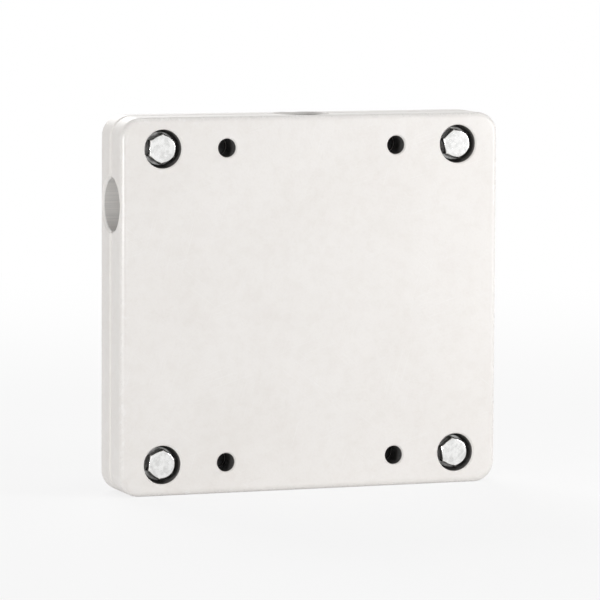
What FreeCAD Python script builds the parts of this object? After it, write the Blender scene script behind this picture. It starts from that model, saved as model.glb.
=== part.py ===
import FreeCAD, Part
import math
import os

# Outboard motor bracket: two like plastic plates with crossing half-round grooves, which
# four stainless bolts pull together on 25 mm tube, one length level and one upright.
# Millimetres. +X runs along the level groove, +Y points from the front plate to the back
# plate, +Z is up, and the origin lies on the level groove's axis at the middle of its length.

# Tube that the grooves grip
tube_radius = 12.5
tube_clearance = 0.1

# Plates
plate_width = 192.0
plate_height = 180.0
plate_thickness = 15.0
clamp_gap = 1.5
groove_below_top = 42.0
corner_radius = 10.0
face_round = 3.0
parting_chamfer = 0.8
groove_lip = 0.8
mouth_flare = 1.2

# Holes through the plates
bolt_from_side = 21.0
bolt_from_edge = 15.0
bolt_hole_clearance = 0.3
pocket_radius = 9.25
pocket_depth = 8.0
spare_hole_radius = 4.5
spare_from_bolt = 32.0
rim_chamfer = 0.6

# Bolts
bolt_radius = 4.0
bolt_length = 30.0
bolt_tip_chamfer = 1.0
head_height = 5.3
washer_face_height = 0.4
washer_face_inset = 0.5

# Hexagons of the heads and nuts
across_flats = 13.0
hex_chamfer_inset = 0.35
hex_chamfer_angle = 30.0

# Washers
washer_radius = 8.0
washer_thickness = 1.6
washer_bore_clearance = 0.2
washer_edge_chamfer = 0.25

# Lock nuts and their nylon rings
nut_height = 8.0
nut_hex_height = 5.8
collar_inset = 0.6
collar_round = 1.3
thread_clearance = 0.05
ring_radius = 5.1
ring_thickness = 1.8
ring_lip = 0.5
ring_lip_overlap = 0.3
ring_clearance = 0.05

# How far each head and nut was turned when it was tightened, in degrees
head_turns = {"top_left": 4.0, "top_right": -12.0, "bottom_left": 9.0, "bottom_right": -7.0}
nut_turns = {"top_left": 21.0, "top_right": 37.0, "bottom_left": -15.0, "bottom_right": 8.0}

groove_radius = tube_radius + tube_clearance
parting_y = clamp_gap / 2
outer_y = parting_y + plate_thickness
pocket_floor_y = outer_y - pocket_depth
plate_top = groove_below_top
plate_bottom = plate_top - plate_height
plate_middle_z = (plate_top + plate_bottom) / 2
bolt_row_top = plate_top - bolt_from_edge
bolt_row_bottom = plate_bottom + bolt_from_edge
bolt_column_x = plate_width / 2 - bolt_from_side
spare_column_x = bolt_column_x - spare_from_bolt
hex_inradius = across_flats / 2
hex_corner_radius = hex_inradius / math.cos(math.radians(30))
across_y = FreeCAD.Vector(0, 1, 0)
origin = FreeCAD.Vector(0, 0, 0)


def turned(profile):
    """Solid of revolution about the Y axis from (radius, y) points."""
    points = [FreeCAD.Vector(radius, y, 0) for radius, y in profile]
    face = Part.Face(Part.makePolygon(points + points[:1]))
    return face.revolve(origin, across_y, 360)


def edges_in_plane(shape, y):
    """Edges that lie whole in the plane at this y."""
    bounds = [(edge, edge.BoundBox) for edge in shape.Edges]
    return [edge for edge, box in bounds if abs(box.YMin - y) < 1e-6 and abs(box.YMax - y) < 1e-6]


def circle_edges(shape, y, radius):
    """Round edges of this radius in the plane at this y."""
    flat = edges_in_plane(shape, y)
    return [edge for edge in flat if abs(edge.Curve.Radius - radius) < 1e-6]


def corner_places(column_x):
    """Corner names and their (x, z) where two columns of holes cross the two bolt rows."""
    places = {}
    for row, z in (("top", bolt_row_top), ("bottom", bolt_row_bottom)):
        for side, x in (("left", -column_x), ("right", column_x)):
            places[row + "_" + side] = (x, z)
    return places


# Plates

def plate_blank():
    """Rounded slab behind the parting plane, with its outer face towards +Y."""
    corner = FreeCAD.Vector(-plate_width / 2, parting_y, plate_bottom)
    slab = Part.makeBox(plate_width, plate_thickness, plate_height, corner)
    upright = [edge for edge in slab.Edges if abs(edge.BoundBox.YLength - plate_thickness) < 1e-6]
    slab = slab.makeFillet(corner_radius, upright)
    slab = slab.makeFillet(face_round, edges_in_plane(slab, outer_y))
    return slab.makeChamfer(parting_chamfer, edges_in_plane(slab, parting_y))


def groove_section():
    """Half-round face across X for the groove, with its two lips chamfered at 45 degrees."""
    half_chord = math.sqrt(groove_radius ** 2 - parting_y ** 2)
    lip_z = half_chord + groove_lip
    span = lip_z - parting_y
    excess = parting_y ** 2 + lip_z ** 2 - groove_radius ** 2
    lip_depth = (span - math.sqrt(span ** 2 - 2 * excess)) / 2
    seat = FreeCAD.Vector(0, parting_y + lip_depth, lip_z - lip_depth)
    seat_below = FreeCAD.Vector(0, seat.y, -seat.z)
    lip = FreeCAD.Vector(0, parting_y, lip_z)
    lip_below = FreeCAD.Vector(0, parting_y, -lip_z)
    mid = FreeCAD.Vector(0, 0, lip_z)
    mid_below = FreeCAD.Vector(0, 0, -lip_z)
    bed = Part.Arc(seat, FreeCAD.Vector(0, groove_radius, 0), seat_below).toShape()
    lower = Part.makePolygon([seat_below, lip_below, mid_below, mid, lip, seat])
    return Part.Face(Part.Wire([bed] + lower.Edges))


def groove_cutter(length):
    """Groove along X, centred on the origin, opening out in a flare at both ends."""
    bed = groove_section().extrude(FreeCAD.Vector(length, 0, 0))
    bed.translate(FreeCAD.Vector(-length / 2, 0, 0))
    flares = []
    for sign in (-1, 1):
        outside = FreeCAD.Vector(sign * (length / 2 + mouth_flare), 0, 0)
        inward = FreeCAD.Vector(-sign, 0, 0)
        wide = groove_radius + 2 * mouth_flare
        flares.append(Part.makeCone(wide, groove_radius, 2 * mouth_flare, outside, inward))
    return bed.fuse(flares)


def bolt_hole_cutter():
    """Bolt hole through the plate with the pocket that takes a head or a nut."""
    hole_radius = bolt_radius + bolt_hole_clearance
    beyond = rim_chamfer
    return turned([
        (0, parting_y - beyond),
        (hole_radius, parting_y - beyond),
        (hole_radius, pocket_floor_y),
        (pocket_radius, pocket_floor_y),
        (pocket_radius, outer_y - rim_chamfer),
        (pocket_radius + rim_chamfer + beyond, outer_y + beyond),
        (0, outer_y + beyond),
    ])


def spare_hole_cutter():
    """Plain through hole with a chamfered rim on both faces."""
    beyond = rim_chamfer
    wide = spare_hole_radius + rim_chamfer + beyond
    return turned([
        (0, parting_y - beyond),
        (wide, parting_y - beyond),
        (spare_hole_radius, parting_y + rim_chamfer),
        (spare_hole_radius, outer_y - rim_chamfer),
        (wide, outer_y + beyond),
        (0, outer_y + beyond),
    ])


def back_plate():
    """Plate that takes the nuts, with both grooves and all its holes."""
    level_groove = groove_cutter(plate_width)
    upright_groove = groove_cutter(plate_height)
    upright_groove.rotate(origin, across_y, 90)
    upright_groove.translate(FreeCAD.Vector(0, 0, plate_middle_z))
    cutters = [level_groove, upright_groove]
    patterns = ((bolt_hole_cutter(), bolt_column_x), (spare_hole_cutter(), spare_column_x))
    for hole, column_x in patterns:
        for x, z in corner_places(column_x).values():
            cutters.append(hole.translated(FreeCAD.Vector(x, 0, z)))
    return plate_blank().cut(cutters)


def front_plate():
    """The same plate turned half round, so that its pockets take the bolt heads."""
    return back_plate().rotated(origin, FreeCAD.Vector(0, 0, 1), 180)


# Fasteners, each made about the Y axis with its seat at y = 0

def hex_prism(height):
    """Hexagonal prism from y = 0, with two corners straight up and down."""
    points = []
    for step in range(6):
        angle = math.radians(90 + 60 * step)
        x = hex_corner_radius * math.cos(angle)
        z = hex_corner_radius * math.sin(angle)
        points.append(FreeCAD.Vector(x, 0, z))
    face = Part.Face(Part.makePolygon(points + points[:1]))
    return face.extrude(FreeCAD.Vector(0, height, 0))


def hex_chamfer_drop():
    """How far down the corners the chamfer of a hexagon's end reaches."""
    run = hex_corner_radius - (hex_inradius - hex_chamfer_inset)
    return run * math.tan(math.radians(hex_chamfer_angle))


def bolt():
    """Hex bolt: its seat at y = 0, the head towards -Y and the shank towards +Y."""
    top_radius = hex_inradius - hex_chamfer_inset
    face_radius = hex_inradius - washer_face_inset
    head_blank = turned([
        (0, -head_height),
        (top_radius, -head_height),
        (hex_corner_radius, -head_height + hex_chamfer_drop()),
        (hex_corner_radius, -washer_face_height),
        (face_radius, -washer_face_height),
        (face_radius, 0),
        (0, 0),
    ])
    prism = hex_prism(head_height)
    prism.translate(FreeCAD.Vector(0, -head_height, 0))
    shank = turned([
        (0, -washer_face_height),
        (bolt_radius, -washer_face_height),
        (bolt_radius, bolt_length - bolt_tip_chamfer),
        (bolt_radius - bolt_tip_chamfer, bolt_length),
        (0, bolt_length),
    ])
    return prism.common(head_blank).fuse(shank).removeSplitter()


def washer():
    """Flat washer from y = 0, with its outer edges broken."""
    bore = bolt_radius + washer_bore_clearance
    inner = washer_radius - washer_edge_chamfer
    return turned([
        (bore, 0),
        (inner, 0),
        (washer_radius, washer_edge_chamfer),
        (washer_radius, washer_thickness - washer_edge_chamfer),
        (inner, washer_thickness),
        (bore, washer_thickness),
    ])


def ring_seat_y():
    """Height of the nylon ring's lower face in its nut."""
    return nut_height - ring_lip - ring_thickness


def lock_nut():
    """Hex nut from y = 0, with the collar at +Y that holds the nylon ring."""
    top_radius = hex_inradius - hex_chamfer_inset
    collar_radius = hex_inradius - collar_inset
    bore = bolt_radius + thread_clearance
    seat_radius = ring_radius + ring_clearance
    opening = ring_radius - ring_lip_overlap
    seat_y = ring_seat_y()
    blank = turned([
        (0, 0),
        (top_radius, 0),
        (hex_corner_radius, hex_chamfer_drop()),
        (hex_corner_radius, nut_hex_height - hex_chamfer_drop()),
        (top_radius, nut_hex_height),
        (0, nut_hex_height),
    ])
    hexagon = hex_prism(nut_hex_height).common(blank)
    collar = Part.makeCylinder(collar_radius, nut_height, origin, across_y)
    collar = collar.makeFillet(collar_round, circle_edges(collar, nut_height, collar_radius))
    hollow = turned([
        (0, 0),
        (bore, 0),
        (bore, seat_y),
        (seat_radius, seat_y),
        (seat_radius, seat_y + ring_thickness),
        (opening, seat_y + ring_thickness),
        (opening, nut_height),
        (0, nut_height),
    ])
    return hexagon.fuse(collar).cut(hollow).removeSplitter()


def nut_insert():
    """Nylon ring of a lock nut, at its place in the nut."""
    bore = bolt_radius + thread_clearance
    seat_y = ring_seat_y()
    return turned([
        (bore, seat_y),
        (ring_radius, seat_y),
        (ring_radius, seat_y + ring_thickness),
        (bore, seat_y + ring_thickness),
    ])


def placed(shape, turn, x, y, z):
    """Copy of a fastener turned about its own axis and moved to its place."""
    return shape.rotated(origin, across_y, turn).translated(FreeCAD.Vector(x, y, z))


def fasteners():
    """Every fastener by name, stacked outwards from the two pocket floors."""
    head_seat_y = -pocket_floor_y - washer_thickness
    nut_seat_y = pocket_floor_y + washer_thickness
    pieces = {}
    for corner, (x, z) in corner_places(bolt_column_x).items():
        head_turn = head_turns[corner]
        nut_turn = nut_turns[corner]
        pieces["bolt_" + corner] = placed(bolt(), head_turn, x, head_seat_y, z)
        pieces["head_washer_" + corner] = placed(washer(), 0, x, head_seat_y, z)
        pieces["nut_washer_" + corner] = placed(washer(), 0, x, pocket_floor_y, z)
        pieces["lock_nut_" + corner] = placed(lock_nut(), nut_turn, x, nut_seat_y, z)
        pieces["nut_insert_" + corner] = placed(nut_insert(), 0, x, nut_seat_y, z)
    return pieces


parts = {"front_plate": front_plate(), "back_plate": back_plate()}
parts.update(fasteners())

os.makedirs("parts", exist_ok=True)
for name, shape in parts.items():
    shape.exportStep("parts/" + name + ".step")
    print(name, "volume", round(shape.Volume, 1), "valid", shape.isValid(), "solids", len(shape.Solids))
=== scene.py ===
# %% [markdown]
# # Outboard motor bracket
# Two like moulded plates stand back to back. Half-round grooves cross on their inner
# faces, and four stainless bolts with lock nuts pull the plates together. The packed
# model holds every piece at its place, so this script never moves one. It gives each
# piece its finish, and makes the bolts, washers, nuts and nylon rings again with the
# threads and softened edges that the plain solids leave out.

import bpy
import numpy as np
from mathutils import Matrix, Vector


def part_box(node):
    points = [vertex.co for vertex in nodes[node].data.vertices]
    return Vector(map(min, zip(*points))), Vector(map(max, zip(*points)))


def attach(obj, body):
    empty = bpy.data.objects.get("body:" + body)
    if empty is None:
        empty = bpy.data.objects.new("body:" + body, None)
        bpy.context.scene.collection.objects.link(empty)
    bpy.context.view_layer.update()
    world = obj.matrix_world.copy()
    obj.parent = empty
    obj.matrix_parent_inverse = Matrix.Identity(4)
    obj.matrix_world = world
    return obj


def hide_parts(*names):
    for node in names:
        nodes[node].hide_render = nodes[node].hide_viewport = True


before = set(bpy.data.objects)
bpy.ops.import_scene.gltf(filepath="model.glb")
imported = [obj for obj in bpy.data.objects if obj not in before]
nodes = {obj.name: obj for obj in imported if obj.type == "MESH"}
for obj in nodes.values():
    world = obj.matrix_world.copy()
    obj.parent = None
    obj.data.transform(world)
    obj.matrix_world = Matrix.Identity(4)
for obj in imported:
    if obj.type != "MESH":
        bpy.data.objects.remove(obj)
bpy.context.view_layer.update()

corners = ("top_left", "top_right", "bottom_left", "bottom_right")
millimetre = 0.001


# %% [markdown]
# ## Where each fastener stands
# A fastener could be placed by numbers copied from the solids, but then the two could
# drift apart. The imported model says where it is: a washer is even about its axis, so the
# middle of its box lies on the bolt's axis. Everything below is worked out in
# millimetres, and only the finished mesh is turned into metres.

# %% Axes and seats read from the nodes
def box_mm(node):
    """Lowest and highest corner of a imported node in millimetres, as two arrays."""
    lowest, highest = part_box(node)
    return np.array(lowest) / millimetre, np.array(highest) / millimetre


axis = {}
for corner in corners:
    lowest, highest = box_mm("head_washer_" + corner)
    axis[corner] = (lowest + highest) / 2
head_seat = box_mm("head_washer_top_left")[0][1]
nut_seat = box_mm("nut_washer_top_left")[1][1]
bolt_tip = box_mm("bolt_top_left")[1][1]
print("bolt axes", {name: place[[0, 2]].round(2).tolist() for name, place in axis.items()})
print("head seat", round(head_seat, 2), "nut seat", round(nut_seat, 2), "tip", round(bolt_tip, 2))

# %% [markdown]
# ## A skin that goes round an axis
# Bolts, nuts and rings are all turned or hexagonal, so one kind of surface makes them
# all: rows follow a profile and columns go round the axis. A Screw modifier could turn
# a profile too, but it can't cut a hexagon or a thread, and here the radius is free to
# change with the angle.

# %% Grid to mesh
def add_piece(name, points, faces):
    """New object in the scene, from points in millimetres and faces by point number."""
    mesh = bpy.data.meshes.new(name)
    mesh.from_pydata((points * millimetre).tolist(), [], faces)
    piece = bpy.data.objects.new(name, mesh)
    bpy.context.scene.collection.objects.link(piece)
    return piece


def bands(index):
    """Four-sided faces between neighbouring rows of a grid of point numbers, whose last
    column meets the first."""
    beside = np.roll(index, -1, axis=1)
    faces = np.stack([index[:-1], beside[:-1], beside[1:], index[1:]], axis=-1)
    return faces.reshape(-1, 4).tolist()


def skin(name, places, poles=None):
    """Closed mesh from a grid of points, rows along the profile and columns round the axis.
    With two poles the first and last row close on them, and without them the last row
    joins the first, as on a ring. The faces look outwards where the profile runs towards
    +Y on the outside and the columns turn from +Z to +X."""
    rows, columns = places.shape[:2]
    index = np.arange(rows * columns).reshape(rows, columns)
    points = places.reshape(-1, 3)
    if poles is None:
        faces = bands(np.vstack([index, index[:1]]))
    else:
        beside = np.roll(index, -1, axis=1)
        first = np.full(columns, rows * columns)
        faces = bands(index)
        faces += np.stack([first, beside[0], index[0]], axis=-1).tolist()
        faces += np.stack([index[-1], beside[-1], first + 1], axis=-1).tolist()
        points = np.vstack([points, poles])
    piece = add_piece(name, points, faces)
    piece.data.polygons.foreach_set("use_smooth", np.ones(len(faces), bool))
    return piece


print("skin ready")

# %% Volume of a piece
def volume(piece):
    """Volume in cubic millimetres, by adding up the tetrahedra from the origin to each
    triangle. It is positive only where the faces look outwards."""
    mesh = piece.data
    mesh.calc_loop_triangles()
    points = np.zeros(len(mesh.vertices) * 3)
    mesh.vertices.foreach_get("co", points)
    corner_of = np.zeros(len(mesh.loop_triangles) * 3, int)
    mesh.loop_triangles.foreach_get("vertices", corner_of)
    a, b, c = points.reshape(-1, 3)[corner_of.reshape(-1, 3)].transpose(1, 0, 2) / millimetre
    return (a * np.cross(b, c)).sum() / 6


print("front plate as packed, volume", round(volume(nodes["front_plate"]), 1))

# %% [markdown]
# ## Soft corners
# No edge of a real part is perfectly sharp, and it is the soft edge that catches the
# light. A Bevel modifier would do it on plain faces, but here the profile's corners are
# rounded before the skin is made, with one more row just outside each round, so that
# the flats next to it stay flat when they are shaded smooth.

# %% Rounded profile
edge_softness = 0.12
round_rows = 4
# The largest share of an edge that a round may take, and the guard row's place in rounds
most_of_edge = 0.28
guard_reach = 1.6


def soft_profile(points, soft=edge_softness, closed=False):
    """Rows (radius, y) of a profile with its corners rounded. Each corner becomes the
    curve P + a s (1 - t)^2 + b s t^2, where a and b point along its two edges and s is
    the softness, or less on a short edge. A guard row stands 1.6 s along each edge."""
    points = np.array(points, float)
    before = np.roll(points, 1, axis=0) - points
    after = np.roll(points, -1, axis=0) - points
    if not closed:
        ends, points, before, after = points[[0, -1]], points[1:-1], before[1:-1], after[1:-1]
    run_in = np.linalg.norm(before, axis=1, keepdims=True)
    run_out = np.linalg.norm(after, axis=1, keepdims=True)
    size = np.minimum(soft, most_of_edge * np.minimum(run_in, run_out))
    t = np.linspace(0, 1, round_rows)
    back = np.concatenate([[guard_reach], (1 - t) ** 2, [0]])
    ahead = np.concatenate([[0], t ** 2, [guard_reach]])
    turn_in = (before / run_in)[:, None] * back[:, None]
    turn_out = (after / run_out)[:, None] * ahead[:, None]
    rows = (points[:, None] + size[:, None] * (turn_in + turn_out)).reshape(-1, 2)
    return rows if closed else np.vstack([ends[:1], rows, ends[1:]])


square = soft_profile([(0, 0), (10, 0), (10, 10), (0, 10)], closed=True)
print("a square's four corners become", len(square), "rows")

# %% Columns round the axis
columns_a_side = 12
hexagon_crowding = 0.75


def column_angles(crowding=hexagon_crowding):
    """Angles round the axis, crowded towards the hexagon's six corners: each sixth of
    the circle runs as u - c sin(2 pi u) / (2 pi) with u even from 0 to 1."""
    u = np.arange(columns_a_side) / columns_a_side
    eased = u - crowding * np.sin(2 * np.pi * u) / (2 * np.pi)
    return np.radians(60 * (np.arange(6)[:, None] + eased).ravel())


def around(corner, turn, radius, y, crowding=hexagon_crowding):
    """Points at this radius and y round a corner's bolt axis, with the columns turned by
    this many degrees from +Z towards +X."""
    angle = column_angles(crowding) + np.radians(turn)
    x, _, z = axis[corner]
    across = x + radius * np.sin(angle)
    upright = z + radius * np.cos(angle)
    return np.stack([across, np.broadcast_to(y, radius.shape), upright], axis=-1)


print("columns round each fastener", len(column_angles()))

# %% [markdown]
# ## Hexagon and thread
# A bolt head is a turned blank cut to a hexagon, and a shank is a rod with a groove
# wound round it. Both are limits on the radius: the skin is as wide as the blank unless
# the hexagon or the thread is nearer to the axis. Taking the smaller of two radii with
# a high power instead of a plain minimum leaves the small round that pressing and
# tumbling leave on real fasteners.

# %% Limits on the radius
across_flats = 13.0
hexagon_power = 90.0
edge_power = 70.0
thread_pitch = 1.25
crest_radius = 3.98
root_radius = 3.25
flank_steepness = 1.8


def hexagon(angle):
    """Distance from the axis to the hexagon: each flat reaches cos(angle from its middle)
    over half the width, and a high power norm of the six rounds the corners slightly."""
    middles = np.radians(30 + 60 * np.arange(6))
    reach = np.clip(np.cos(angle[..., None] - middles), 0, None) / (across_flats / 2)
    return (reach ** hexagon_power).sum(-1) ** (-1 / hexagon_power)


def thread(angle, along):
    """Radius of a right-hand thread: a cosine in y over the pitch minus the angle over a
    turn, steepened by tanh into straight flanks with narrow crests and roots."""
    wave = np.cos(2 * np.pi * along / thread_pitch - angle)
    share = 0.5 + 0.5 * np.tanh(flank_steepness * wave) / np.tanh(flank_steepness)
    return root_radius + (crest_radius - root_radius) * share


def narrower(first, second):
    """Smaller of two radii with the edge between them softened: the negative power norm."""
    return (first ** -edge_power + second ** -edge_power) ** (-1 / edge_power)


print("hexagon from flat to corner", hexagon(np.radians([30.0, 0.0])).round(3))
print("thread depth", round(crest_radius - root_radius, 3))

# %% [markdown]
# ## Bolts
# Each is a stainless hex bolt, 8 mm by 30 mm and threaded almost up to its head, which
# sits in its pocket a little below the plate's face. The rows start in the middle of
# the head's top, run over its edge and down its side to the washer face, and then along
# the shank to the tip. The hexagon limits the rows of the head, and the thread those of
# the shank. Every head was tightened to its own angle, so no two stand alike.

# %% Bolt rows
head_height = 5.3
top_radius = 6.15
blank_radius = 7.62
chamfer = (blank_radius - top_radius) * np.tan(np.radians(30))
washer_face_radius = 6.0
washer_face_height = 0.4
neck_radius = 4.2
rod_radius = 4.3
rows_a_pitch = 9
shank_start = 0.25
shank_end = 0.95
least_gap = 0.03
# The head's top, as a radius and a share of the crown, and the tip, as a radius and how
# far it falls short of the end.
crown = 0.07
crown_shape = ((0.25, 1.0), (2.2, 0.85), (4.3, 0.45))
tip_shape = ((rod_radius, 1.3), (3.0, 0.0), (1.4, 0.12), (0.25, 0.16))


def bolt_rows(length):
    """Rows (radius, y) of the blank from the head's top to the tip, with y = 0 at the seat,
    and how many of them are the head's. The shank's rows stand an even share of the
    pitch apart."""
    head = soft_profile([
        *((radius, -head_height - share * crown) for radius, share in crown_shape),
        (top_radius, -head_height),
        (blank_radius, -head_height + chamfer),
        (blank_radius, -washer_face_height),
        (washer_face_radius, -washer_face_height),
        (washer_face_radius, 0.0),
        (neck_radius, 0.0),
    ])
    y = np.arange(shank_start, length - shank_end, thread_pitch / rows_a_pitch)
    shank = np.stack([np.full(len(y), rod_radius), y], axis=-1)
    tip = soft_profile([(radius, length - short) for radius, short in tip_shape])
    tip = tip[tip[:, 1] > y[-1] + least_gap]
    return np.vstack([head, shank, tip]), len(head)


bolt_length = bolt_tip - head_seat
bolt_profile, head_rows = bolt_rows(bolt_length)
print("bolt length", round(bolt_length, 2), "rows", len(bolt_profile), "on the head", head_rows)

# %% Bolt skins
head_turns = {"top_left": 4.0, "top_right": -12.0, "bottom_left": 9.0, "bottom_right": -7.0}
thread_run_out = 1.6


def shank_radius(angle, along):
    """The thread, which runs out into a plain neck over the first stretch under the head."""
    share = np.clip(along / thread_run_out, 0, 1) ** 2
    return crest_radius + (thread(angle, along) - crest_radius) * share


def bolt(corner):
    """Bolt of one corner: radius = the blank's, made narrower by the hexagon on the head's
    rows and by the thread on the shank's."""
    angle = column_angles()[None, :]
    limit = np.broadcast_to(hexagon(angle), (len(bolt_profile), angle.size)).copy()
    limit[head_rows:] = shank_radius(angle, bolt_profile[head_rows:, 1:])
    radius = narrower(bolt_profile[:, :1], limit)
    y = head_seat + bolt_profile[:, 1:]
    x, _, z = axis[corner]
    poles = [(x, y[0, 0], z), (x, y[-1, 0], z)]
    return skin("hex_bolt_" + corner, around(corner, head_turns[corner], radius, y), poles)


bolts = {corner: bolt(corner) for corner in corners}
for corner, piece in bolts.items():
    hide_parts("bolt_" + corner)
    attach(piece, "root")
    print(piece.name, "faces", len(piece.data.polygons), "volume", round(volume(piece), 1))

# %% [markdown]
# ## Washers
# A flat washer is punched from sheet, and tumbling afterwards takes the burr off, so its
# edges are rolled and not chamfered. A turned tube with a Bevel modifier would nearly do,
# but the skin that the bolts use makes it in the same few words. The ring is as wide and
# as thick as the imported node. It has no hexagon, so its columns are spread evenly.

# %% Washer skins
washer_bore = 4.2
rolled_edge = 0.26
washer_kinds = ("head_washer_", "nut_washer_")


def washer(kind, corner):
    """Ring of one corner: a square profile (radius, y) with its four corners rounded."""
    lowest, highest = box_mm(kind + corner)
    outer = (highest[0] - lowest[0]) / 2
    profile = soft_profile([
        (washer_bore, lowest[1]),
        (outer, lowest[1]),
        (outer, highest[1]),
        (washer_bore, highest[1]),
    ], rolled_edge, closed=True)
    radius = np.repeat(profile[:, :1], len(column_angles()), axis=1)
    places = around(corner, 0.0, radius, profile[:, 1:], crowding=0.0)
    return skin("punched_" + kind + corner, places)


washers = {kind + corner: washer(kind, corner) for corner in corners for kind in washer_kinds}
for node, piece in washers.items():
    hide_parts(node)
    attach(piece, "root")
    print(piece.name, "faces", len(piece.data.polygons), "volume", round(volume(piece), 1))

# %% [markdown]
# ## Lock nuts
# A lock nut is a hexagon with a round collar on top. The collar is rolled over a nylon
# ring, so that its lip holds the ring down. The profile is one closed loop: out along
# the seat, up the hexagon, round the collar, over the lip, down behind the ring and back
# down the bore. The same hexagon cuts the outside, with the bolt head's own chamfer.

# %% Lock nut skins
nut_turns = {"top_left": 21.0, "top_right": 37.0, "bottom_left": -15.0, "bottom_right": 8.0}
nut_height = 8.0
hex_part = 5.8
collar_radius = 5.9
collar_dip = 0.02
collar_round = 1.3
shoulder_turn = 80
shoulder_rows = 7
lip_radius = 4.8
lip_height = 0.5
bore_radius = 4.05
ring_room_radius = 5.15
ring_floor = 5.7


def nut_rows():
    """Closed profile (radius, y) of the nut, with y = 0 at its seat. The collar's shoulder
    is an arc about the point one round in from its side and down from its top."""
    arc = np.radians(np.linspace(0, shoulder_turn, shoulder_rows))
    shoulder_radius = collar_radius - collar_round + collar_round * np.cos(arc)
    shoulder_y = nut_height - collar_round + collar_round * np.sin(arc)
    lip_y = nut_height - lip_height
    return soft_profile([
        (bore_radius, 0.0),
        (top_radius, 0.0),
        (blank_radius, chamfer),
        (blank_radius, hex_part - chamfer),
        (top_radius, hex_part),
        (collar_radius, hex_part - collar_dip),
        *zip(shoulder_radius, shoulder_y),
        (lip_radius, lip_y),
        (ring_room_radius, lip_y),
        (ring_room_radius, ring_floor),
        (bore_radius, ring_floor),
    ], closed=True)


def lock_nut(corner):
    """Nut of one corner: radius = the blank's, made narrower by the hexagon."""
    profile = nut_rows()
    radius = narrower(profile[:, :1], hexagon(column_angles())[None, :])
    places = around(corner, nut_turns[corner], radius, nut_seat + profile[:, 1:])
    return skin("nylon_lock_nut_" + corner, places)


nuts = {corner: lock_nut(corner) for corner in corners}
for corner, piece in nuts.items():
    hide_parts("lock_nut_" + corner)
    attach(piece, "root")
    print(piece.name, "faces", len(piece.data.polygons), "volume", round(volume(piece), 1))

# %% [markdown]
# ## Nylon rings
# The ring is what locks the nut: the bolt cuts its own thread into it. So its bore is
# the bolt's thread with a hair of room, at the same turn, and its top swells where the
# nylon was pushed up between the bolt and the lip.

# %% Nylon ring skins
ring_top = nut_height - lip_height
ring_radius = 5.1
ring_mouth_radius = 4.1
flat_rim = 0.4
swell = 0.16
swell_start = 0.45
swell_rows = 7
bore_rows = 15
bore_inset = 0.08
bore_room = 0.02


def ring_rows():
    """Closed profile (radius, y) from the bore's foot round the outside and over the top,
    which lifts as a squared sine. The bore's own rows come last, with radius 0."""
    outside = soft_profile([
        (ring_mouth_radius, ring_floor),
        (ring_radius, ring_floor),
        (ring_radius, ring_top),
        (ring_radius - flat_rim, ring_top),
    ])
    top_radii = np.linspace(ring_radius - swell_start, ring_mouth_radius, swell_rows)
    lift = swell * np.sin(np.pi * np.linspace(0, 1, swell_rows)) ** 2
    top = np.stack([top_radii, ring_top + lift], axis=-1)
    bore_y = np.linspace(ring_top - bore_inset, ring_floor + bore_inset, bore_rows)
    bore = np.stack([np.zeros(bore_rows), bore_y], axis=-1)
    return np.vstack([outside, top, bore])


def nylon_ring(corner):
    """Ring of one corner: rows with radius 0 follow the bolt's thread, a hair outside it."""
    profile = ring_rows()
    y = nut_seat + profile[:, 1:]
    bore = thread(column_angles()[None, :], y - head_seat) + bore_room
    radius = np.where(profile[:, :1] > 0, profile[:, :1], bore)
    return skin("nylon_ring_" + corner, around(corner, head_turns[corner], radius, y))


rings = {corner: nylon_ring(corner) for corner in corners}
for corner, piece in rings.items():
    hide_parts("nut_insert_" + corner)
    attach(piece, "root")
    print(piece.name, "faces", len(piece.data.polygons), "volume", round(volume(piece), 1))

# %% [markdown]
# ## Shader maths as Python
# A material is a tree of nodes. Placing them by hand hides what they work out, so one
# small class wraps a node's output and lets ordinary arithmetic add the Math nodes.
# Every other node comes from its one method: the type, the settings, then the sockets.

# %% One class for every node
class Socket:
    """An output of a node in a material or world. Arithmetic on it adds Math nodes."""

    def __init__(self, tree, link=None):
        self.tree = tree
        self.link = link

    def node(self, kind, settings=None, sockets=None, output=0):
        """Adds a node of this type: its settings first, then its sockets' values or links."""
        made = self.tree.nodes.new(kind)
        for key, value in (settings or {}).items():
            setattr(made, key, value)
        for key, value in (sockets or {}).items():
            if isinstance(value, Socket):
                self.tree.links.new(value.link, made.inputs[key])
            else:
                made.inputs[key].default_value = value
        return Socket(self.tree, made.outputs[output] if len(made.outputs) else None)

    def maths(self, operation, first, second=0.0):
        """Adds a Math node on two values or sockets."""
        return self.node("ShaderNodeMath", {"operation": operation}, {0: first, 1: second})

    def __add__(self, other):
        return self.maths("ADD", self, other)

    def __radd__(self, other):
        return self.maths("ADD", other, self)

    def __sub__(self, other):
        return self.maths("SUBTRACT", self, other)

    def __rsub__(self, other):
        return self.maths("SUBTRACT", other, self)

    def __mul__(self, other):
        return self.maths("MULTIPLY", self, other)

    def __rmul__(self, other):
        return self.maths("MULTIPLY", other, self)

    def __pow__(self, other):
        return self.maths("POWER", self, other)

    def __abs__(self):
        return self.maths("ABSOLUTE", self)


print("socket class ready")

# %% [markdown]
# ## Words that the finishes share
# A finish is easier to judge when its numbers are real sizes. So places are read in
# millimetres, noise takes the width of its lumps in millimetres, and bump heights are
# in millimetres too. Object coordinates are used, because every piece's object sits at
# the frame's origin, and the pattern then stays on the piece when a body moves. Where a
# finish changes, a run says where its fade starts and where it ends, in millimetres. Where
# it follows a noise, two levels of the noise, which goes from 0 to 1, say the same.

# %% Places and noise
def new_finish(name):
    """An empty material and a socket that adds its first nodes."""
    material = bpy.data.materials.new(name)
    material.use_nodes = True
    material.node_tree.nodes.clear()
    return material, Socket(material.node_tree)


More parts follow.
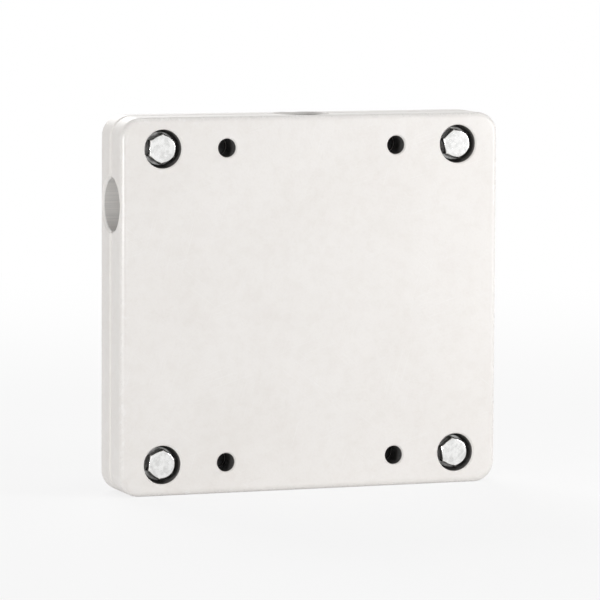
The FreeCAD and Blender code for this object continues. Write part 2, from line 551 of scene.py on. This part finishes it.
def place_mm(paint):
    """Object coordinates in millimetres, as a vector and as x, y and z."""
    where = paint.node("ShaderNodeTexCoord", output="Object")
    sockets = {0: where, "Scale": 1 / millimetre}
    where = paint.node("ShaderNodeVectorMath", {"operation": "SCALE"}, sockets)
    parts = [paint.node("ShaderNodeSeparateXYZ", {}, {0: where}, output=k) for k in range(3)]
    return where, parts


def lumps(where, width, detail=2.0, stretch=(1.0, 1.0, 1.0)):
    """Noise from 0 to 1 with lumps about this many millimetres wide, longer where stretched."""
    scale = tuple(1.0 / (width * s) for s in stretch)
    sockets = {0: where, 1: scale}
    squeezed = where.node("ShaderNodeVectorMath", {"operation": "MULTIPLY"}, sockets)
    sockets = {"Vector": squeezed, "Scale": 1.0, "Detail": detail}
    return where.node("ShaderNodeTexNoise", {}, sockets)


print("places and noise ready")

# %% Fades, mixes and the closing shader
def fade(value, start, end):
    """0 up to start and 1 from end on, with a smooth run between them. Where start is the
    larger, it is 1 below end and 0 above start."""
    sockets = {"Value": value, "From Min": start, "From Max": end}
    return value.node("ShaderNodeMapRange", {"interpolation_type": "SMOOTHSTEP"}, sockets)


def patches(where, width, levels, detail=3.0, stretch=(1.0, 1.0, 1.0)):
    """Noise of this width in millimetres, of which only the higher parts are left: it
    fades in between two levels."""
    return fade(lumps(where, width, detail, stretch), *levels)


def mix(share, first, second):
    """Colour that goes from the first to the second as share goes from 0 to 1. Sockets 6
    and 7 and output 2 are the Mix node's colours."""
    sockets = {0: share, 6: first, 7: second}
    return share.node("ShaderNodeMix", {"data_type": "RGBA"}, sockets, output=2)


def settle(paint, base, roughness, height, metallic=0.0):
    """Ends a material: its colour, roughness and bump height in millimetres go into one shader."""
    sockets = {"Strength": 1.0, "Distance": millimetre, "Height": height}
    bump = paint.node("ShaderNodeBump", {}, sockets)
    sockets = {"Base Color": base, "Roughness": roughness, "Metallic": metallic, "Normal": bump}
    shader = paint.node("ShaderNodeBsdfPrincipled", {}, sockets)
    paint.node("ShaderNodeOutputMaterial", {}, {"Surface": shader})


print("fades, mixes and shader ready")

# %% Distance from the bolt axes
plate_low, plate_high = (place.tolist() for place in box_mm("back_plate"))
plate_middle_z = (plate_low[2] + plate_high[2]) / 2
bolt_x, _, bolt_z = axis["top_left"].tolist()
bolt_column = abs(bolt_x)
bolt_row = bolt_z - plate_middle_z


def from_axes(x, z, column=bolt_column):
    """Distance to the nearest of four axes, which stand this far to either side and as high
    and low as the bolts: the square root of both offsets squared and added."""
    across = abs(x) - column
    upright = abs(z - plate_middle_z) - bolt_row
    return (across * across + upright * upright) ** 0.5


print("plate middle z", round(plate_middle_z, 2))
print("bolt column", round(bolt_column, 2), "row", round(bolt_row, 2))

# %% [markdown]
# ## Off-white moulded plastic
# The plates are matt and off-white, with a fine pebble grain on their outer faces. A
# single grey value would look like paper, and a picture wrapped round the plate would
# show seams at its edges. So noise in the plate's own millimetres does it: the colour
# drifts slightly over tens of millimetres, the rounded edges are scuffed in patches, and
# a few thin scratches cross the faces. The pockets and the through holes are painted
# dark inside, as in the photograph: this is painted shade. The grooves are burnished
# in streaks along their length, because something has slid in them.

# %% Where the plastic changes
half_width = plate_high[0]
half_height = (plate_high[2] - plate_low[2]) / 2
outer_face = plate_high[1]
corner_round = 10.0
groove_radius = 12.6
pocket_radius = 9.25
pocket_floor = float(box_mm("nut_washer_top_left")[0][1])
spare_radius = 4.5
spare_column = bolt_column - 32.0
# Runs under the outer face, in from the rim, over the pocket's floor and behind a wall
face_run = (0.4, 0.1)
shade_run = (0.6, 1.5)
rim_run = (3.3, 1.9)
floor_run = (-0.7, -0.2)
hole_run = (0.7, 0.2)
groove_run = (0.5, 0.1)


def edge_share(x, z, under_face):
    """1 on the rounded rim of the outer face and 0 away from it: the distance in from the
    rounded outline plus the depth under the face, faded out."""
    wide = abs(x) - (half_width - corner_round)
    tall = abs(z - plate_middle_z) - (half_height - corner_round)
    out_x = wide.maths("MAXIMUM", wide, 0.0)
    out_z = tall.maths("MAXIMUM", tall, 0.0)
    inward = corner_round - (out_x * out_x + out_z * out_z) ** 0.5
    return fade(inward + under_face, *rim_run)


plate_plastic, paint = new_finish("moulded_plate_plastic")
where, (x, y, z) = place_mm(paint)
depth = abs(y)
under_face = outer_face - depth
on_face = fade(under_face, *face_run)
sunk = fade(under_face, *shade_run)
behind_pocket = from_axes(x, z) - pocket_radius
behind_spare = from_axes(x, z, spare_column) - spare_radius
# Masks for painted shade: the inside of each pocket below its rim, and of each spare hole
in_pocket = fade(behind_pocket, *hole_run) * sunk * fade(depth - pocket_floor, *floor_run)
in_spare = fade(behind_spare, *hole_run) * sunk
level = fade((y * y + z * z) ** 0.5 - groove_radius, *groove_run)
upright = fade((x * x + y * y) ** 0.5 - groove_radius, *groove_run)
rim = edge_share(x, z, under_face)
print("rim, face, pocket, hole and groove masks ready")

# %% Drift, scuffs, scratches and streaks
along_level = (90.0, 1.0, 1.0)
along_upright = (1.0, 1.0, 90.0)
halo_run = (7.75, 0.35)
halo_share = 0.35
seam_run = (3.2, 0.8)
seam_share = 0.4
worn_levels = (0.52, 0.70)
worn_drift_levels = (0.42, 0.60)
halo_levels = (0.35, 0.75)
seam_levels = (0.3, 0.7)
# Scratches: the slant in degrees and the least level of each set, how far above it a
# line is full, how far the noise is drawn out, and the levels of the patches
scratch_sets = ((17.0, 0.72), (-38.0, 0.73), (74.0, 0.73))
scratch_edge = 0.05
scratch_stretch = (70.0, 30.0, 1.0)
scratch_levels = (0.52, 0.62)


def scratches(where, slant, least):
    """Thin lines: noise turned by a slant in degrees and drawn out along the face, of
    which only the peaks are kept, and of those only what falls in a few patches."""
    sockets = {"Vector": where, "Rotation": (0.0, np.radians(slant), 0.0)}
    turned = where.node("ShaderNodeMapping", {}, sockets)
    peaks = (least, least + scratch_edge)
    line = patches(turned, width=0.35, levels=peaks, detail=0.0, stretch=scratch_stretch)
    return line * patches(turned, width=21.0, levels=scratch_levels, detail=1.0)


drift = lumps(where, width=34.0, detail=3.0)
mottle = lumps(where, width=4.5, detail=3.0)
speckle = lumps(where, width=1.1)
scuffed_patches = patches(where, width=3.0, levels=worn_levels, detail=4.0)
worn = rim * scuffed_patches * fade(drift, *worn_drift_levels)
first, second, third = [scratches(where, slant, least) for slant, least in scratch_sets]
lines = (first + second + third) * on_face
streak_level = lumps(where, width=0.45, detail=3.0, stretch=along_level)
streak_upright = lumps(where, width=0.45, detail=3.0, stretch=along_upright)
halo_patches = patches(where, width=3.0, levels=halo_levels)
halo = fade(behind_pocket, *halo_run) * halo_patches * halo_share
seam_patches = patches(where, width=8.0, levels=seam_levels)
seam_dirt = fade(depth, *seam_run) * seam_patches * seam_share
print("drift, scuffs, scratches and streaks ready")

# %% Plastic colour
off_white = (0.80, 0.777, 0.754, 1.0)
off_white_warm = (0.752, 0.722, 0.692, 1.0)
scuffed = (0.86, 0.85, 0.84, 1.0)
rubbed_grey = (0.56, 0.56, 0.55, 1.0)
# Painted shade colours for the inside of the pockets and the spare through holes
pocket_painted_shade = (0.045, 0.043, 0.041, 1.0)
hole_painted_shade = (0.016, 0.015, 0.015, 1.0)
drift_levels = (0.35, 0.70)
drift_share = 0.36
mottle_levels = (0.40, 0.70)
mottle_share = 0.34
speckle_levels = (0.45, 0.75)
speckle_share = 0.28
worn_share = 0.6
scratch_share = 0.25
rubbed_share = 0.15
streak_levels = (0.35, 0.70)
streak_share = 0.45
pocket_share = 0.86
pocket_speckle = 0.12
hole_share = 0.90
hole_speckle = 0.08


def burnished(groove, streaks):
    """Share of rubbed grey in a groove: a little all over it and more along its streaks."""
    return groove * (rubbed_share + streak_share * fade(streaks, *streak_levels))


aged = fade(drift, *drift_levels) * drift_share + fade(mottle, *mottle_levels) * mottle_share
aged = aged + fade(speckle, *speckle_levels) * speckle_share
colour = mix(aged, off_white, off_white_warm)
colour = mix(halo + seam_dirt, colour, off_white_warm)
colour = mix(worn * worn_share + lines * scratch_share, colour, scuffed)
colour = mix(burnished(level, streak_level), colour, rubbed_grey)
colour = mix(burnished(upright, streak_upright), colour, rubbed_grey)
# Painted shade: the pockets and the spare holes turn nearly black inside
colour = mix(in_pocket * (pocket_share + pocket_speckle * speckle), colour, pocket_painted_shade)
colour = mix(in_spare * (hole_share + hole_speckle * speckle), colour, hole_painted_shade)
print("plate colours", off_white[:3], "to", off_white_warm[:3])

# %% Plastic grain and roughness
pebble_height = 0.030
grain_height = 0.006
scuff_height = 0.04
scratch_depth = 0.012
streak_height = 0.012
plain_roughness = 0.42
noise_roughness = 0.08
worn_roughness = 0.24
dark_roughness = 0.42
streak_polish = 0.10
rim_polish = 0.22
scratch_polish = 0.12

pebble = lumps(where, width=1.25, detail=1.0)
grain = lumps(where, width=0.30)
scuffs = lumps(where, width=0.9, detail=3.0)
height = on_face * pebble * pebble_height + grain * grain_height + worn * scuffs * scuff_height
height = height - lines * scratch_depth
height = height + level * streak_level * streak_height + upright * streak_upright * streak_height
roughness = plain_roughness + noise_roughness * speckle + noise_roughness * mottle
roughness = roughness - streak_polish * level * streak_level
roughness = roughness - streak_polish * upright * streak_upright
roughness = roughness - rim * rim_polish + worn * worn_roughness - lines * scratch_polish
roughness = roughness + dark_roughness * in_pocket + dark_roughness * in_spare
settle(paint, colour, roughness, height)
for name in ("front_plate", "back_plate"):
    for place in nodes[name].material_slots:
        place.material = plate_plastic
    print(name, "finished with", plate_plastic.name)

# %% [markdown]
# ## Stainless steel
# Bolts, nuts and washers are bright stainless steel, which is all reflection: what tells
# it from plain grey is the fine turned rings, the drift in its roughness and the edges
# that are rubbed brighter. The shader's Anisotropic value could stretch the glare as
# turned steel does, but it shows no single ring, so the rings are a fine bump. All of
# the pieces stand on the four bolt axes, so one distance from the nearest axis draws the
# rings of every head, nut and washer.

# %% Painted shade on the steel
# Painted shade colour for steel deep in the pockets and in the thread's roots
steel_painted_shade = (0.10, 0.098, 0.094, 1.0)
shade_share = 0.7
shade_levels = (0.35, 0.65)
thin_share = 0.45
# Runs under the outer face, out from an axis, and along the shank to its tip
deep_run = (1.5, 3.4)
side_run = (5.0, 6.2)
root_run = (crest_radius - 0.15, root_radius + 0.1)
corner_run = (6.7, 7.3)
shank_run = (0.0, 1.0)
tip_run = (float(bolt_tip) - 0.35, float(bolt_tip) - 0.55)


def painted_shade_cover(out, y, drift):
    """Share of painted shade: deep in a pocket it lies on what stands far out, and along
    the shank in the thread's root, in both places thinner where the drift is low."""
    deep = fade(outer_face - abs(y), *deep_run) * fade(out, *side_run)
    root = fade(out, *root_run) * fade(y, *shank_run) * fade(y, *tip_run)
    thickness = thin_share + (1 - thin_share) * fade(drift, *shade_levels)
    return (deep + root) * shade_share * thickness


print("grime ends at y", round(tip_run[0], 2), "and the bolt at", round(bolt_tip, 2))

# %% Steel finish
pit_depth = 0.006
pit_levels = (0.66, 0.74)
wave_height = 0.004
dull_levels = (0.35, 0.70)
dull_share = 0.6
pit_share = 0.5
shade_tint = 0.9
pit_roughness = 0.10
shade_roughness = 0.25
rubbed_polish = 0.06


def steel(name, bright, dull, ring_width, ring_height, smooth, rough):
    """Stainless finish: rings of noise over the distance from the bolt axis, drift in
    colour and roughness between two values, small pits, corners rubbed bright, and painted
    shade deep in the pockets and in the thread's roots."""
    material, paint = new_finish(name)
    where, (x, y, z) = place_mm(paint)
    out = from_axes(x, z)
    sockets = {"W": out, "Scale": 1.0 / ring_width, "Detail": 3.0}
    rings = paint.node("ShaderNodeTexNoise", {"noise_dimensions": "1D"}, sockets)
    drift = lumps(where, width=2.6, detail=3.0)
    pits = patches(where, width=0.35, levels=pit_levels, detail=1.0)
    rubbed = fade(out, *corner_run)
    # Painted shade: the steel darkens deep in the pockets and in the thread's roots
    painted_shade = painted_shade_cover(out, y, drift)
    dulled = fade(drift, *dull_levels) * (1 - rubbed) * dull_share + pits * pit_share
    colour = mix(painted_shade * shade_tint, mix(dulled, bright, dull), steel_painted_shade)
    roughness = smooth + (rough - smooth) * drift + pit_roughness * pits
    roughness = roughness - rubbed_polish * rubbed + shade_roughness * painted_shade
    waves = lumps(where, width=1.6, detail=1.0)
    height = rings * ring_height - pits * pit_depth + waves * wave_height
    settle(paint, colour, roughness, height, metallic=1.0)
    return material


print("steel finish ready")

# %% Steel on the pieces
bolt_steel = steel(
    "bright_bolt_steel", bright=(0.89, 0.89, 0.88, 1.0), dull=(0.58, 0.58, 0.57, 1.0),
    ring_width=0.22, ring_height=0.010, smooth=0.14, rough=0.29,
)
nut_steel = steel(
    "bright_nut_steel", bright=(0.74, 0.74, 0.73, 1.0), dull=(0.60, 0.60, 0.59, 1.0),
    ring_width=0.30, ring_height=0.010, smooth=0.22, rough=0.42,
)
washer_steel = steel(
    "punched_washer_steel", bright=(0.72, 0.72, 0.71, 1.0), dull=(0.58, 0.58, 0.57, 1.0),
    ring_width=0.45, ring_height=0.006, smooth=0.28, rough=0.46,
)
for corner in corners:
    bolts[corner].data.materials.append(bolt_steel)
    nuts[corner].data.materials.append(nut_steel)
for piece in washers.values():
    piece.data.materials.append(washer_steel)
print("steel on", len(bolts) + len(nuts) + len(washers), "pieces")

# %% [markdown]
# ## Nylon
# The rings in the nuts are natural nylon: milky, smoother than the plates, and darker
# and yellower where the bolt has rubbed them. Light under the surface would make the
# milk, but the rings are only a few millimetres wide, and a pale cloudy colour looks
# the same.

# %% Nylon finish
nylon_milky = (0.78, 0.78, 0.74, 1.0)
nylon_yellow = (0.70, 0.69, 0.62, 1.0)
nylon_rubbed = (0.52, 0.51, 0.46, 1.0)
cloud_levels = (0.35, 0.70)
cloud_share = 0.6
mouth_share = 0.7
mouth_run = (4.5, 4.1)
nylon_roughness = 0.34
cloud_roughness = 0.12
dimple_height = 0.012

insert_nylon, paint = new_finish("milky_nylon")
where, (x, y, z) = place_mm(paint)
cloud = lumps(where, width=1.4, detail=3.0)
colour = mix(fade(cloud, *cloud_levels) * cloud_share, nylon_milky, nylon_yellow)
colour = mix(fade(from_axes(x, z), *mouth_run) * mouth_share, colour, nylon_rubbed)
dimples = lumps(where, width=0.5) * dimple_height
settle(paint, colour, nylon_roughness + cloud_roughness * cloud, dimples)
for piece in rings.values():
    piece.data.materials.append(insert_nylon)
print("nylon on", len(rings), "rings")

# %% [markdown]
# ## Floor
# A product photograph has a pale floor without an edge. A curved backdrop would do it
# from one side only, and this object is looked at from all round, so the floor is a wide
# disc that is white to the camera far away, and near the object keeps enough of its own
# shading to carry the shadow. Rays seen in the steel get the same white.

# %% Floor disc
floor_inner = 20.0
floor_reach = 6.0 / millimetre
floor_rows = 24
floor_columns = 64


def disc():
    """Flat floor under the plates: the radius grows by an even factor from row to row."""
    reach = np.geomspace(floor_inner, floor_reach, floor_rows)[::-1, None]
    angle = np.linspace(0, 2 * np.pi, floor_columns + 1)[None, :-1]
    flat = np.broadcast_to(plate_low[2], (floor_rows, floor_columns))
    return np.stack([reach * np.sin(-angle), reach * np.cos(-angle), flat], axis=-1)


index = np.arange(floor_rows * floor_columns).reshape(floor_rows, floor_columns)
floor = add_piece("floor", disc().reshape(-1, 3), bands(index) + [index[-1].tolist()])
print("floor at z", round(plate_low[2], 2), "faces look", floor.data.polygons[0].normal[:])

# %% Floor finish
floor_grey = (0.80, 0.80, 0.80, 1.0)
pure_white = (1.0, 1.0, 1.0, 1.0)
near_share = 0.8
white_run = (260.0, 1100.0)


def seen_white(paint):
    """1 for rays that make the picture: from the camera, from gloss and through glass."""
    seen = [paint.node("ShaderNodeLightPath", output=name) for name in
            ("Is Camera Ray", "Is Glossy Ray", "Is Transmission Ray")]
    return paint.maths("MAXIMUM", paint.maths("MAXIMUM", seen[0], seen[1]), seen[2])


floor_finish, paint = new_finish("floor_finish")
where, (x, y, z) = place_mm(paint)
away = fade((x * x + y * y) ** 0.5, *white_run)
matt = paint.node("ShaderNodeBsdfDiffuse", {}, {"Color": floor_grey})
white = paint.node("ShaderNodeEmission", {}, {"Color": pure_white, "Strength": 1.0})
share = seen_white(paint) * (near_share + (1 - near_share) * away)
surface = paint.node("ShaderNodeMixShader", {}, {0: share, 1: matt, 2: white})
paint.node("ShaderNodeOutputMaterial", {}, {"Surface": surface})
floor.data.materials.append(floor_finish)
print("floor is", near_share, "white near the plates, all white from", white_run[1], "mm on")

# %% [markdown]
# ## Light
# The photograph was lit softly, with more light from the right, so that the right walls
# of the pockets are in shade. A point lamp would print sharp shadows and sparks on the
# steel, so every lamp is a panel. The key stands low at the right, a small panel at the
# left draws the thin bright line along the rounded edge, one hangs above, and one lights
# the back. The world fills the rest at a plain level, and is white to the camera.

# %% World
world = bpy.data.worlds.new("studio")
bpy.context.scene.world = world
world.use_nodes = True
world.node_tree.nodes.clear()
paint = Socket(world.node_tree)
fill_strength = 0.32
strength = fill_strength + (1 - fill_strength) * seen_white(paint)
sky = paint.node("ShaderNodeBackground", {}, {"Color": pure_white, "Strength": strength})
paint.node("ShaderNodeOutputWorld", {}, {"Surface": sky})
print("world fills at", fill_strength)

# %% Panels
plates_middle = np.array([0.0, 0.0, plate_middle_z * millimetre])


def panel(name, place, width, height, power):
    """Oblong lamp at a place in metres that faces the middle of the plates."""
    light = bpy.data.lights.new(name, "AREA")
    light.shape = "RECTANGLE"
    light.size = width
    light.size_y = height
    light.energy = power
    lamp = bpy.data.objects.new(name, light)
    lamp.location = place
    sight = Vector(plates_middle - np.array(place))
    lamp.rotation_euler = sight.to_track_quat("-Z", "Y").to_euler()
    lamp.visible_camera = False
    bpy.context.scene.collection.objects.link(lamp)
    return lamp


panels = [
    panel("right_key", place=(0.64, -0.49, 0.10), width=0.35, height=0.35, power=3.5),
    panel("left_low", place=(-1.25, -0.90, -0.02), width=0.25, height=0.22, power=10.2),
    panel("top_light", place=(0.2, -0.30, 1.9), width=0.7, height=0.4, power=5.5),
    panel("back_light", place=(0.0, 2.0, 1.3), width=1.2, height=1.2, power=27.0),
]
print("panels", [(lamp.name, round(lamp.data.energy, 1)) for lamp in panels])

# %% [markdown]
# ## Camera
# The place was worked out from the photograph: the bolts, the holes and the outline of
# the plates fix where the lens stood, 2.2 m away and 20 degrees to the left, and that the
# picture leans by a third of a degree. Moving nearer would fill the frame too, but it
# would also change the perspective. So the camera stays there and looks at the middle
# of the bracket through a lens 3.45 times as long.

# %% Camera
camera_place = (-0.7633, -2.0318, 0.1655)
photo_lens = 78.8
closer = 3.45
roll = np.radians(0.32)
camera = bpy.data.objects.new("camera", bpy.data.cameras.new("camera"))
camera.location = camera_place
sight = Vector(plates_middle) - Vector(camera_place)
level_view = sight.to_track_quat("-Z", "Y").to_matrix()
camera.rotation_euler = (level_view @ Matrix.Rotation(roll, 3, "Z")).to_euler()
camera.data.lens = photo_lens * closer
camera.data.sensor_width = 36.0
camera.data.clip_start = 0.05
camera.data.clip_end = 50.0
bpy.context.scene.collection.objects.link(camera)
bpy.context.scene.camera = camera
bpy.context.scene.view_settings.view_transform = "Standard"
print("lens", round(camera.data.lens, 1), "distance", round(sight.length, 3))
